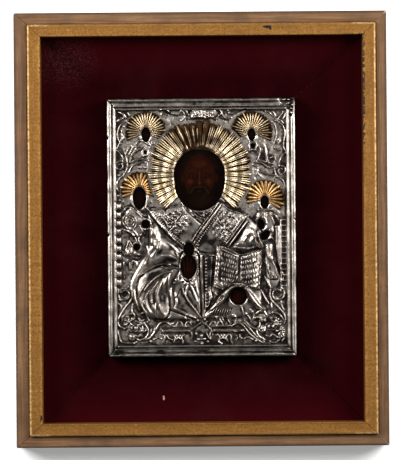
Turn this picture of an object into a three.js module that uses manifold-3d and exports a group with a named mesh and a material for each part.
// Icon in a shadow-box frame: a painted board under a repousse silver cover with five gilt ray
// halos, on a velvet mount inside a gold slip and a brown wooden moulding.
// Millimetres. The piece lies on its back: +Z out of the picture, +Y to the top of the icon,
// origin at the centre of the back face.

import * as THREE from 'three';
import { mergeVertices } from 'three/addons/utils/BufferGeometryUtils.js';
import Module from 'manifold-3d';

const wasm = await Module();
wasm.setup();

// ---------------------------------------------------------------- driving dimensions

const FRAME_WIDTH = 318;
const FRAME_HEIGHT = 371;
const GAP = 0.3; // between pieces that touch
const MITRE_GAP = 0.2; // taken off each end of a mitred strip

// Widths seen from the front, as the hand-made mouldings measure on each side.
const RAIL_FACES = { left: 11.2, right: 9.1, top: 9.8, bottom: 9.7 };
const SLIP_FACES = { left: 11.5, right: 11.6, top: 10.8, bottom: 10.8 };
const RAIL_DEPTH = 38;
const SLIP_TOP = 42.5; // the slip stands proud of the moulding
const SLIP_FOOT = 18.3;
const BACKBOARD_THICK = 4;

const ICON_PLACE = { x: 0.3, y: 1.5 }; // the icon sits a little high in its frame
const ICON_WIDTH = 161; // over the silver
const ICON_HEIGHT = 221;
const MOUNT_OUTER_Z = 18; // the velvet falls from the slip to the icon
const MOUNT_INNER_Z = 12;
const SHEET = 0.8; // wall of the cover's turned-down edge
const SKIRT_FOOT = 8;
const BOARD_FACE = 28;
const COVER_BACK = BOARD_FACE + GAP;
const FIELD = 29.1; // the cover's flat ground
const ROOT = FIELD - 0.4; // where raised work starts, inside the ground
const RIM_SIDE = 8.3; // width of the cover's border on the long sides
const RIM_END = 10.2; // and at the top and bottom
const RIM_TOP = 31.8;

const HEAD = new THREE.Vector2(-1.6, 45.6); // centre of the head opening
const HEAD_RADIUS = 21.3;
const CHIN_DROP = 31.5;
const JOWL = 2.2; // how late the head opening narrows to the chin
const HALO_BACK = FIELD + GAP;

// ---------------------------------------------------------------- materials

const finish = (color, roughness, metalness) =>
  new THREE.MeshStandardMaterial({ color, roughness, metalness });
const stainedWood = () => finish(0x7d6450, 0.6, 0);
const goldPaint = () => finish(0xaa7d41, 0.45, 0.6);
const velvet = () => finish(0x3c050c, 0.95, 0);
const bareBoard = () => finish(0x8a7150, 0.8, 0);
const paintedBoard = () => finish(0x2a160c, 0.5, 0);
const silver = () => finish(0xb4aea4, 0.3, 1);
const gilt = () => finish(0xc79a4a, 0.3, 1);

// ---------------------------------------------------------------- solids

const flat = (x, y, z = 0) => new THREE.Vector3(x, y, z);

// A closed body through a row of rings with equally many corners. The two end rings are closed by
// fans about their middles.
function skin(rings) {
  const count = rings[0].length;
  const corners = rings.flat();
  const triangles = [];
  for (let i = 0; i + 1 < rings.length; i += 1) {
    for (let j = 0; j < count; j += 1) {
      const a = i * count + j;
      const b = i * count + ((j + 1) % count);
      triangles.push(a, b, a + count, b, b + count, a + count);
    }
  }
  for (const [row, turned] of [[0, true], [rings.length - 1, false]]) {
    const middle = corners.length;
    const sum = rings[row].reduce((total, p) => total.add(p), flat(0, 0));
    corners.push(sum.divideScalar(count));
    for (let j = 0; j < count; j += 1) {
      const a = row * count + j;
      const b = row * count + ((j + 1) % count);
      triangles.push(...(turned ? [middle, b, a] : [middle, a, b]));
    }
  }
  const geometry = new THREE.BufferGeometry().setFromPoints(corners);
  geometry.setIndex(facesOut(corners, triangles) ? triangles : triangles.reverse());
  return geometry;
}

function facesOut(corners, triangles) {
  let volume = 0;
  for (let i = 0; i < triangles.length; i += 3) {
    const [a, b, c] = [0, 1, 2].map((k) => corners[triangles[i + k]]);
    volume += a.dot(b.clone().cross(c));
  }
  return volume > 0;
}

function toSolid(geometry) {
  const bare = geometry.clone();
  bare.deleteAttribute('normal');
  bare.deleteAttribute('uv');
  const closed = mergeVertices(bare, 1e-4);
  return new wasm.Manifold(new wasm.Mesh({
    numProp: 3,
    vertProperties: closed.attributes.position.array,
    triVerts: Uint32Array.from(closed.index.array),
  }));
}

function toGeometry(solid) {
  const { vertProperties, triVerts } = solid.getMesh();
  const geometry = new THREE.BufferGeometry();
  geometry.setAttribute('position', new THREE.BufferAttribute(vertProperties, 3));
  geometry.setIndex(new THREE.BufferAttribute(triVerts, 1));
  return geometry;
}

function block(x0, x1, y0, y1, z0, z1) {
  const geometry = new THREE.BoxGeometry(x1 - x0, y1 - y0, z1 - z0);
  return geometry.translate((x0 + x1) / 2, (y0 + y1) / 2, (z0 + z1) / 2);
}

// A raised rib, fold or stem on the ground, along a smooth curve through points on the plane,
// thinner towards both ends by taper. A section is [side, up] in widths and heights.
const ROUND_SECTION = [[-0.5, 0], [-0.34, 0.75], [0, 1], [0.34, 0.75], [0.5, 0]];
const RIDGE_SECTION = [[-0.5, 0], [-0.2, 1], [0.2, 1], [0.5, 0]];

function rib(points, width, height, taper = 0, step = 4.5, section = ROUND_SECTION) {
  const curve = new THREE.CatmullRomCurve3(points.map(([x, y]) => flat(x, y)));
  const stretches = Math.max(2, Math.round(curve.getLength() / step));
  const rings = [];
  for (let i = 0; i <= stretches; i += 1) {
    const along = i / stretches;
    const size = 1 - taper * (1 - Math.sin(Math.PI * along));
    const at = curve.getPointAt(along);
    const heading = curve.getTangentAt(along);
    rings.push(section.map(([side, up]) => flat(
      at.x - heading.y * side * width * size,
      at.y + heading.x * side * width * size,
      up > 0 ? FIELD + up * height * size : ROOT,
    )));
  }
  return skin(rings);
}

// A low swelling over an outline: each level is [share of the outline's spread, height].
function mound(outline, levels) {
  const middle = new THREE.Vector2();
  outline.forEach(([x, y]) => middle.add(new THREE.Vector2(x, y)));
  middle.divideScalar(outline.length);
  return skin(levels.map(([share, height]) => outline.map(([x, y]) => flat(
    middle.x + (x - middle.x) * share,
    middle.y + (y - middle.y) * share,
    height === 0 ? ROOT : FIELD + height,
  ))));
}

// An oval outline of count corners, turned by tilt.
function oval(x, y, halfWidth, halfHeight, tilt = 0, count = 12) {
  return Array.from({ length: count }, (_, i) => {
    const angle = (2 * Math.PI * i) / count;
    const u = halfWidth * Math.cos(angle);
    const v = halfHeight * Math.sin(angle);
    return [x + u * Math.cos(tilt) - v * Math.sin(tilt), y + u * Math.sin(tilt) + v * Math.cos(tilt)];
  });
}

// The points of a volute that winds inwards from radius to a quarter of it.
function volute(x, y, radius, startAngle, turns) {
  const steps = Math.ceil(Math.abs(turns) * 7);
  return Array.from({ length: steps + 1 }, (_, i) => {
    const angle = startAngle + (2 * Math.PI * turns * i) / steps;
    const reach = radius * (1 - (0.75 * i) / steps);
    return [x + reach * Math.cos(angle), y + reach * Math.sin(angle)];
  });
}

// ---------------------------------------------------------------- mitred strips

// Rectangles are {left, right, top, bottom} places of their sides.
const centred = (width, height, { x, y } = { x: 0, y: 0 }) => (
  { left: x - width / 2, right: x + width / 2, top: y + height / 2, bottom: y - height / 2 });

const inset = (outer, by) => ({
  left: outer.left + by.left,
  right: outer.right - by.right,
  top: outer.top - by.top,
  bottom: outer.bottom + by.bottom,
});

const evenly = (by) => ({ left: by, right: by, top: by, bottom: by });

function between(outer, inner, share) {
  const side = (name) => outer[name] + (inner[name] - outer[name]) * share;
  return { left: side('left'), right: side('right'), top: side('top'), bottom: side('bottom') };
}

// The strip on one side, from the outer rectangle to the inner one. profile is a list of
// [share of the way in, z] round its section, and both ends are cut along the mitres.
function mitredSide(side, outer, inner, profile) {
  const ends = [-1, 1].map((end) => profile.map(([share, z]) => {
    const at = between(outer, inner, share);
    if (side === 'top' || side === 'bottom') {
      return flat(end < 0 ? at.left + MITRE_GAP : at.right - MITRE_GAP, at[side], z);
    }
    return flat(at[side], end < 0 ? at.bottom + MITRE_GAP : at.top - MITRE_GAP, z);
  }));
  return skin(ends);
}

function addFrameSides(group, name, outer, inner, profile, material) {
  for (const side of ['top', 'bottom', 'left', 'right']) {
    const own = profile(Math.abs(outer[side] - inner[side]));
    const mesh = new THREE.Mesh(mitredSide(side, outer, inner, own), material());
    mesh.name = `${name}_${side}`;
    group.add(mesh);
  }
}

// The corner arc of a section, from one angle to another in degrees.
function arc(across, z, radius, from, to, steps) {
  return Array.from({ length: steps + 1 }, (_, i) => {
    const angle = THREE.MathUtils.degToRad(from + ((to - from) * i) / steps);
    return [across + radius * Math.cos(angle), z + radius * Math.sin(angle)];
  });
}

const asShares = (profile, width) => profile.map(([across, z]) => [across / width, z]);

function railProfile(width) {
  const arris = 1.2;
  const innerFall = 0.8; // the face falls towards the slip
  return asShares([
    [0, 0],
    ...arc(arris, RAIL_DEPTH - arris, arris, 180, 90, 3),
    [width - 1, RAIL_DEPTH],
    [width, RAIL_DEPTH - innerFall],
    [width, 0],
  ], width);
}

function slipProfile(width) {
  const arris = 3.2;
  const lip = 0.9;
  return asShares([
    [0, SLIP_FOOT],
    ...arc(arris, SLIP_TOP - arris, arris, 180, 90, 6),
    ...arc(width - lip, SLIP_TOP - lip, lip, 90, 0, 3),
    [width, SLIP_FOOT],
  ], width);
}

// The velvet board: flat under the slip, then falling to the icon.
function mountProfile(width) {
  const foot = BACKBOARD_THICK + GAP;
  const edge = 2;
  return asShares([
    [0, foot],
    [0, MOUNT_OUTER_Z],
    [SLIP_FACES.top, MOUNT_OUTER_Z],
    [width - edge, MOUNT_INNER_Z],
    [width, MOUNT_INNER_Z - 1],
    [width, foot],
  ], width);
}

// ---------------------------------------------------------------- silver cover

// The rim's section from the outside in: [share of the rim's width, height].
const RIM_SECTION = [
  [0, 30.2], [0.06, 31.2], [0.2, RIM_TOP], [0.36, 31.3], [0.46, 30.3],
  [0.54, 30.2], [0.62, 31.3], [0.76, 31.6], [0.9, 31.1], [1, FIELD],
];

// The sheet: skirt, rim and ground in one, hollow below for the board.
function sheet() {
  const halfWidth = ICON_WIDTH / 2;
  const halfHeight = ICON_HEIGHT / 2;
  const rectangle = (x, y, z) => [flat(-x, -y, z), flat(x, -y, z), flat(x, y, z), flat(-x, y, z)];
  const rings = [
    rectangle(halfWidth - SHEET, halfHeight - SHEET, COVER_BACK),
    rectangle(halfWidth - SHEET, halfHeight - SHEET, SKIRT_FOOT),
    rectangle(halfWidth, halfHeight, SKIRT_FOOT),
    ...RIM_SECTION.map(([share, z]) => rectangle(
      halfWidth - share * RIM_SIDE,
      halfHeight - share * RIM_END,
      z,
    )),
  ];
  return skin(rings);
}

// The robe under everything, the two stole panels on the chest, and the hanging stole.
function robe() {
  const body = [
    [-46, 15], [-30, 17.5], [-16, 20], [-8, 12], [-0.8, 10], [8, 13], [17, 22], [30, 15], [41, 9],
    [52, -3], [54, -20], [52, -50], [50, -70], [30, -80], [-5, -84], [-38, -87], [-54, -80],
    [-61, -62], [-62, -44], [-52, -14],
  ];
  const leftPanel = [[-46, 16], [-16, 19], [2, 5], [-6, -14], [-15, -18]];
  const rightPanel = [[17, 21.5], [40, 9.5], [31, -4], [23, -16], [-6.5, -14.5]];
  return [
    mound(body, [[1, 0], [1, 0.5], [0.94, 1.2]]),
    mound(leftPanel, [[1, 0], [1, 1.7], [0.88, 2.2]]),
    mound(rightPanel, [[1, 0], [1, 2], [0.88, 2.6]]),
    block(-0.8, 10.3, -73, -23, ROOT, FIELD + 2.2),
  ];
}

// Raised edges of the stole: [from, to].
function stoleRibs() {
  const edges = [
    [[-15.9, 19.2], [-6.5, 10.5], [1.8, 6]],
    [[16.3, 21.2], [5.5, 4.5], [-6.7, -14.8]],
    [[-46.5, 17], [-31, 0.5], [-15.2, -17.9]],
    [[39.7, 9.9], [31.5, -3], [22.7, -15.6]],
    [[-0.4, -23], [-0.4, -73]],
  ];
  return edges.map((points) => rib(points, 2, 3.4, 0, 12, RIDGE_SECTION));
}

function leftSleeve() {
  const outline = [
    [-41, 6], [-30, -4], [-19, -13], [-14.5, -22], [-18, -34], [-22, -46], [-29, -66], [-37, -85],
    [-48, -84], [-57, -74], [-61, -60], [-62, -46], [-54, -33], [-47, -18], [-44, -4],
  ];
  const folds = [
    [[-22, -38], [-33, -46], [-38, -62], [-35, -82]],
    [[-24, -36], [-42, -46], [-48, -62], [-43, -83]],
    [[-27, -35.5], [-50, -44], [-56, -58], [-52, -76]],
    [[-17, -22], [-30, -27], [-44, -26]],
    [[-18, -17], [-30, -17], [-41, -10]],
  ];
  return [
    mound(outline, [[1, 0], [1, 1.4], [0.85, 3.2], [0.55, 4]]),
    ...folds.map((points) => rib(points, 5, 5.2, 0.35, 6)),
    rib([[-62, -45], [-55, -37.5], [-46, -34], [-34, -33.5], [-21, -35.5]], 3, 5.2, 0.2),
    rib([[-15.8, -51], [-10, -64], [-1.2, -75]], 2.6, 3.6, 0.2),
  ];
}

function rightSleeve() {
  const outline = [[25, -15], [31, -4], [40, 8], [49, 2], [53, -8], [52, -18], [40, -20], [32, -22]];
  return [
    mound(outline, [[1, 0], [1, 1.6], [0.8, 3.6], [0.4, 4.4]]),
    rib([[27, -14], [36, -3], [42, 6]], 3, 4.6, 0.3),
    rib([[42, -19], [47, -10], [50, -1]], 3, 4.4, 0.3),
  ];
}

// The open book: two pages that rise from the gutter to their outer edges.
function book() {
  const gutterTop = [32.4, -23.9];
  const gutterFoot = [30.5, -56];
  const pages = [
    [[13.5, -15.6], [10.3, -50.5]],
    [[51.3, -18.9], [47.7, -53.5]],
  ];
  const leaf = ([top, foot]) => {
    const corners = [top, gutterTop, gutterFoot, foot];
    const heights = [5.2, 3.4, 3.4, 5.2];
    return skin([
      corners.map(([x, y]) => flat(x, y, ROOT)),
      corners.map(([x, y], i) => flat(x, y, FIELD + heights[i])),
    ]);
  };
  const edges = pages.map(([top, foot]) => rib([top, foot], 1.6, 5.8, 0, 12));
  return [...pages.map(leaf), ...edges];
}

// The cloth that arches over the hand that holds the book.
function handDrape() {
  return [rib(
    [[3.3, -73.7], [10, -66.5], [18, -56.5], [24, -51], [30, -49.2], [37, -51.5], [44, -59], [50.8, -68.6]],
    4.4,
    6.2,
    0.25,
    4,
  )];
}

// The small figures on either side, as robed half-lengths.
function smallFigures() {
  return [
    mound(oval(-56, 4, 8, 9, 0.3), [[1, 0], [1, 0.8], [0.6, 1.8]]),
    mound(oval(-57, -16, 9, 12, -0.2), [[1, 0], [1, 0.9], [0.6, 2.2]]),
    mound(oval(53, -2, 9, 13, 0.2), [[1, 0], [1, 0.8], [0.6, 1.9]]),
    rib([[44, 10], [50, 14.5], [57, 14.5], [63, 8], [64, -6]], 2.6, 2.2, 0.3),
    rib([[60, -8], [61, -24], [66, -44]], 4, 2.6, 0.3),
    rib([[55, -14], [57, -30], [61, -47]], 3.4, 2.4, 0.3),
    rib([[-66, 16], [-59, 18], [-50, 12], [-44, 4]], 2.4, 2, 0.3),
    rib([[-67, -22], [-58, -29], [-49, -27], [-45, -18]], 3, 2.6, 0.3),
  ];
}

// Scrolling stems, leaves and volutes of the border.
function scrollwork() {
  const half = Math.PI / 2;
  const stems = [
    [[-72, 66.5], [-66.5, 60], ...volute(-70.3, 51.4, 3.6, half * 0.7, 0.8)],
    [[-62.3, 53.2], [-69, 46], [-71.5, 37], [-69.5, 28]],
    [[-62, 54], [-58, 64], [-52, 70], [-45.5, 72.5]],
    [[-61, 54], [-54, 57.5], [-45.5, 56.5]],
    [[-35, 100.5], [-28, 96], [-20, 95.5], [-14.5, 99.5]],
    [[23, 98.5], [31, 97.5], [38, 100], [43, 102]].map(([x, y]) => [x, y - 1]),
    [[-11, 98.3], [-6, 101.5], [-1.6, 102.6], [6, 101.5], [15.5, 98.3]].map(([x, y]) => [x, y - 1.5]),
    [[62.2, 67.7], [67, 63], [70.5, 56], ...volute(68.6, 48.6, 3.4, half * 0.6, -0.8)],
    [[52, 55], [58, 58], [64, 50], [69, 42], [70, 33]],
    [[-61, -51], ...volute(-66.3, -58.1, 5.2, half * 0.5, -0.9)],
    [[-60.6, -63.8], [-66, -72], [-71.2, -79.8], [-67.9, -86]],
    volute(-67.3, -80, 5, -half, 1.1),
    volute(-50.3, -88.1, 5.2, half, -1.1),
    [[58.7, -59], [65, -66], [71.4, -74.7]],
    volute(64.4, -55.1, 6.6, -half, 1.1),
    [[58.3, -73.4], [64, -75], [70, -79.8]],
    volute(58, -84, 5, half, -1.1),
    [[46.4, -86.5], [53, -95], [60.9, -97.8]],
    [[-71, -90], [-68, -96.5], [-61, -99]],
  ];
  const leaves = [
    oval(-67, 94, 4.2, 2.2, -0.7, 8), oval(-62, 96.5, 2.4, 1.6, 0.4, 8),
    oval(67, 94.5, 4.2, 2.2, 0.7, 8), oval(62, 96.5, 2.6, 1.6, -0.4, 8),
    oval(-13.5, 98, 2.2, 4, 0, 8), oval(22, 97, 2.2, 4, 0.2, 8),
    oval(57, 49, 2.4, 6, 0.5, 8), oval(62, 42, 2, 4.5, 0.4, 8),
    oval(-61, -93, 3.2, 3.2, 0, 8), oval(-40.5, -92, 2.2, 6.5, -0.5, 8),
    oval(66, -88, 2.2, 6, -0.7, 8), oval(48, -78, 3.6, 2.4, 0, 8),
  ];
  return [
    ...stems.map((points) => rib(points, 1.9, 1.9, 0.3, 3.8, RIDGE_SECTION)),
    ...leaves.map((outline) => mound(outline, [[1, 0], [1, 0.6], [0.5, 1.7]])),
  ];
}

// The moulded band below the figure, with its keyhole arch.
function footBand() {
  const jewels = [-5, -0.3, 4.8];
  return [
    rib([[-35.6, -88.4], [-9.5, -88.4]], 1.4, 1.6, 0, 30),
    rib([[8.5, -88.4], [34, -88.4]], 1.4, 1.6, 0, 30),
    rib([[-9, -95], [-9.6, -88.5], [-5.5, -82.8], [-1.4, -81.2], [2.8, -82.8], [8.6, -88.5], [8.2, -95]], 1.8, 2.4, 0, 4),
    ...jewels.map((x) => mound(oval(x, -92.2, 1.8, 1.8, 0, 8), [[1, 0], [1, 1], [0.5, 2]])),
    mound(oval(-0.4, -98.9, 1.8, 1.2, 0, 8), [[1, 0], [1, 1.2], [0.5, 2]]),
    ...[-31, -25, -19, -13, 13, 19, 25, 31].map((x, i) => (
      mound(oval(x, -94.6, 2.4, 1.2, i % 2 ? 0.6 : -0.6, 6), [[1, 0], [1, 0.7], [0.4, 1.4]]))),
  ];
}

// The rows of small blocks beside the figure.
function dentils() {
  const rows = [
    { x: -71.2, top: 20, foot: -54, pitch: 7.4 },
    { x: 70.4, top: 3, foot: -50, pitch: 8.9 },
  ];
  const blocks = [];
  for (const { x, top, foot, pitch } of rows) {
    for (let y = top; y > foot; y -= pitch) {
      blocks.push(block(x - 2, x + 1.6, y - 1.3, y + 1.3, ROOT, FIELD + 1.2));
    }
  }
  return blocks;
}

// ---------------------------------------------------------------- halos

// Each small halo is a fan of rays about the top of an opening, from one angle to another.
const HALOS = [
  { name: 'halo_top_left', x: -47.2, y: 82, radius: 18.2, rays: 24, from: -30, to: 206 },
  { name: 'halo_top_right', x: 43.3, y: 81.3, radius: 18.6, rays: 24, from: -27, to: 206 },
  { name: 'halo_mid_left', x: -53, y: 32, radius: 16.8, rays: 16, from: -26, to: 206 },
  { name: 'halo_mid_right', x: 54.3, y: 24.3, radius: 17, rays: 16, from: -40, to: 198 },
];
const HALO_HOLES = {
  halo_top_left: [-47.1, 79.8, 4, 6.4],
  halo_top_right: [43.3, 79.1, 3.4, 5.5],
  halo_mid_left: [-53, 25.6, 5.9, 9.8],
  halo_mid_right: [54, 21.5, 3.7, 5.6],
};
const MAIN_HALO = { x: -1.2, y: 48.1, radius: 44.4 }; // the circle that its rays reach
const MAIN_RAYS = { x: HEAD.x, y: HEAD.y, rays: 42, from: -46, to: 226 };

// How far a ray from one point runs before it meets a circle: near side, or far side from inside.
function reachTo(angle, from, circle, inside = false) {
  const away = new THREE.Vector2(circle.x - from.x, circle.y - from.y);
  const ahead = away.length() * Math.cos(angle - away.angle());
  const aside = away.length() * Math.sin(angle - away.angle());
  const room = circle.radius ** 2 - aside ** 2;
  if (inside) {
    return ahead + Math.sqrt(room);
  }
  return ahead > 0 && room > 0 ? ahead - Math.sqrt(room) : Infinity;
}

// A ray halo: ridges and valleys that rise towards the rim, between two edges that are
// distances from its centre at an angle.
function rayHalo(own, innerEdge, outerEdge) {
  const steps = own.rays * 2;
  const rings = [];
  for (let i = 0; i <= steps; i += 1) {
    const angle = THREE.MathUtils.degToRad(own.from + ((own.to - own.from) * i) / steps);
    const ridge = i % 2;
    const outer = outerEdge(angle) * (ridge ? 1 : 0.955);
    const inner = innerEdge(angle);
    const at = (reach, z) => flat(own.x + reach * Math.cos(angle), own.y + reach * Math.sin(angle), z);
    rings.push([
      at(inner, HALO_BACK),
      at(inner, HALO_BACK + 1.3),
      at(outer - 0.8, HALO_BACK + 0.7 + ridge * 1.2),
      at(outer, HALO_BACK),
    ]);
  }
  return skin(rings);
}

// The distance from a halo's centre to the edge of an oval hole that lies off centre, and margin.
function holeEdge(own, [holeX, holeY, halfWidth, halfHeight], margin) {
  return (angle) => {
    const a = halfWidth + margin;
    const b = halfHeight + margin;
    const dx = own.x - holeX;
    const dy = own.y - holeY;
    const u = Math.cos(angle);
    const v = Math.sin(angle);
    const p = (u / a) ** 2 + (v / b) ** 2;
    const q = (dx * u) / a ** 2 + (dy * v) / b ** 2;
    const r = (dx / a) ** 2 + (dy / b) ** 2 - 1;
    return (-q + Math.sqrt(Math.max(q * q - p * r, 0))) / p;
  };
}

const HALO_MARGIN = 0.8; // from an opening's edge to the halo round it

const mainReach = (angle) => reachTo(angle, MAIN_RAYS, MAIN_HALO, true);
const mainHaloGeometry = rayHalo(
  MAIN_RAYS,
  (angle) => headEdge(angle) + HALO_MARGIN,
  mainReach,
);
const smallHalos = HALOS.map((own) => ({
  ...own,
  geometry: rayHalo(
    own,
    holeEdge(own, HALO_HOLES[own.name], HALO_MARGIN),
    (angle) => Math.min(
      own.radius,
      reachTo(angle, own, { ...MAIN_HALO, radius: MAIN_HALO.radius + 2 * GAP }),
    ),
  ),
}));

// ---------------------------------------------------------------- the cover put together

// Straight cutters through the cover, over an outline.
function cutter(outline) {
  const shape = new THREE.Shape(outline.map(([x, y]) => new THREE.Vector2(x, y)));
  const geometry = new THREE.ExtrudeGeometry(shape, { depth: 20, bevelEnabled: false });
  return geometry.translate(0, 0, COVER_BACK - 5);
}

// The head opening: round above, longer towards the chin below.
function headEdge(angle) {
  return HEAD_RADIUS + (CHIN_DROP - HEAD_RADIUS) * Math.max(0, -Math.sin(angle)) ** JOWL;
}

function headOutline() {
  const count = 28;
  return Array.from({ length: count }, (_, i) => {
    const angle = (2 * Math.PI * i) / count;
    return [HEAD.x + headEdge(angle) * Math.cos(angle), HEAD.y + headEdge(angle) * Math.sin(angle)];
  });
}

const SMALL_OPENINGS = [
  oval(-11.6, -33.5, 6.6, 10.2), // the blessing hand
  oval(-11.4, -18.6, 3.9, 5.4), // and the slot above it
  oval(31, -59.2, 6.8, 6.8), // the hand under the book
  ...Object.values(HALO_HOLES).map((hole) => oval(...hole)), // heads of the small figures
  oval(-47.8, 64.6, 1.7, 1.7, 0, 8), oval(44.3, 69.5, 2.1, 2.1, 0, 8),
  oval(-47.9, 3.2, 3.2, 3.2, 0, 10), oval(-55.6, -16.3, 3, 3, 0, 10),
  oval(50.6, 2.3, 3, 4.2, 0.3, 10), oval(54.5, -7.1, 3.2, 4.4, -0.6, 10),
];

// Raised work stays off the ground that a halo covers, and a little beyond.
function haloGrounds() {
  const margin = 0.6;
  const steps = 24;
  const grounds = [[MAIN_RAYS, HEAD_RADIUS - 5, mainReach]];
  grounds.push(...HALOS.map((own) => [own, 2, () => own.radius]));
  return grounds.map(([own, near, outerEdge]) => {
    const rings = Array.from({ length: steps + 1 }, (_, i) => {
      const turn = own.from - 2 + ((own.to - own.from + 4) * i) / steps;
      const angle = THREE.MathUtils.degToRad(turn);
      const far = outerEdge(angle) + margin;
      const section = [[near, FIELD], [far, FIELD], [far, FIELD + 12], [near, FIELD + 12]];
      return section.map(([reach, z]) => (
        flat(own.x + reach * Math.cos(angle), own.y + reach * Math.sin(angle), z)));
    });
    return toSolid(skin(rings));
  });
}

function coverGeometry() {
  const raised = [
    ...robe(), ...stoleRibs(), ...leftSleeve(), ...rightSleeve(), ...book(), ...handDrape(),
    ...smallFigures(), ...scrollwork(), ...footBand(), ...dentils(),
  ];
  const clipped = raised
    .map(toSolid)
    .reduce((all, one) => all.add(one));
  const free = haloGrounds().reduce((left, lid) => left.subtract(lid), clipped);
  const holes = [headOutline(), ...SMALL_OPENINGS].map((outline) => toSolid(cutter(outline)));
  const cover = holes.reduce((left, hole) => left.subtract(hole), toSolid(sheet()).add(free));
  return toGeometry(cover);
}

// ---------------------------------------------------------------- assembly

const panel = new THREE.Group();

const outside = centred(FRAME_WIDTH, FRAME_HEIGHT);
const railInside = inset(outside, RAIL_FACES);
const slipOutside = inset(railInside, evenly(GAP));
const slipInside = inset(railInside, SLIP_FACES);
const iconPlace = centred(ICON_WIDTH + 2 * GAP, ICON_HEIGHT + 2 * GAP, ICON_PLACE);

addFrameSides(panel, 'frame_rail', outside, railInside, railProfile, stainedWood);
addFrameSides(panel, 'gilt_slip', slipOutside, slipInside, slipProfile, goldPaint);
addFrameSides(panel, 'velvet_mount', slipOutside, iconPlace, mountProfile, velvet);

function addPiece(group, name, geometry, material) {
  const mesh = new THREE.Mesh(geometry, material());
  mesh.name = name;
  group.add(mesh);
}

addPiece(
  panel,
  'backboard',
  block(slipOutside.left, slipOutside.right, slipOutside.bottom, slipOutside.top, 0, BACKBOARD_THICK),
  bareBoard,
);

const icon = new THREE.Group();
icon.position.set(ICON_PLACE.x, ICON_PLACE.y, 0);
panel.add(icon);

const boardX = ICON_WIDTH / 2 - SHEET - GAP;
const boardY = ICON_HEIGHT / 2 - SHEET - GAP;
addPiece(
  icon,
  'icon_board',
  block(-boardX, boardX, -boardY, boardY, BACKBOARD_THICK + GAP, BOARD_FACE),
  paintedBoard,
);
addPiece(icon, 'silver_cover', coverGeometry(), silver);
addPiece(icon, 'halo_main', mainHaloGeometry, gilt);
for (const { name, geometry } of smallHalos) {
  addPiece(icon, name, geometry, gilt);
}

export default panel;
